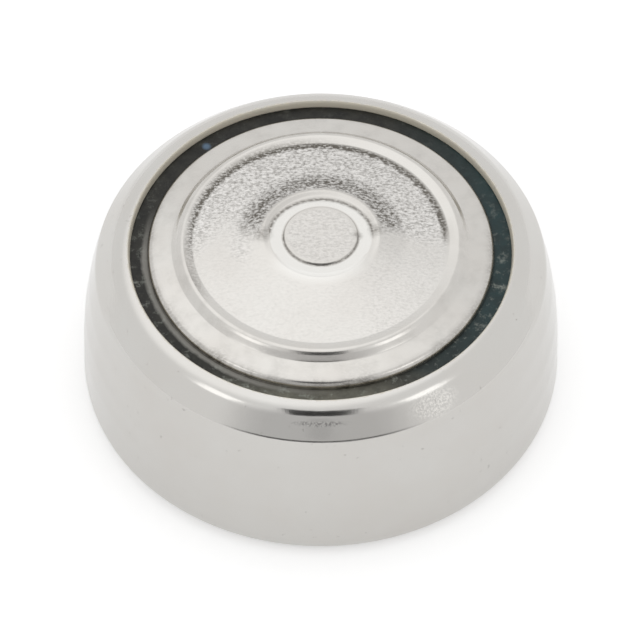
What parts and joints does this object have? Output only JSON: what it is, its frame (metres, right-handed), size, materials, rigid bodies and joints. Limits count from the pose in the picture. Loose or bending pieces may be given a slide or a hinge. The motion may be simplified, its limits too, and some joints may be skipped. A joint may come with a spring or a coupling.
{
  "type": "button cell battery",
  "caption": "Round button cell: plated steel can with a rolled rim, dark sealing ring and a stepped cap with a frosted contact field and a raised centre; supplies low direct voltage.",
  "frame": {"origin": "centre of the can's flat base, on the axis", "axes": "+Z along the axis, from the positive base to the negative contact"},
  "size_m": [0.0116, 0.0116, 0.0053],
  "materials": {
    "can_plating": "bright nickel plate over drawn steel, lightly scuffed",
    "cap_plating": "bright nickel plate, with a frosted contact field",
    "gasket_nylon": "dark moulded nylon with a film of sealant",
    "cathode_mix": "pressed dark oxide and graphite powder",
    "separator_membrane": "thin smooth membrane",
    "absorbent_fibre": "soft non-woven fibre, damp",
    "zinc_paste": "grey zinc powder in a gel"
  },
  "bodies": {
    "root": {"positive_can": "can_plating", "negative_cap": "cap_plating", "sealing_gasket": "gasket_nylon", "cathode_pellet": "cathode_mix", "separator_disc": "separator_membrane", "absorbent_pad": "absorbent_fibre", "zinc_anode": "zinc_paste"}
  },
  "joints": []
}
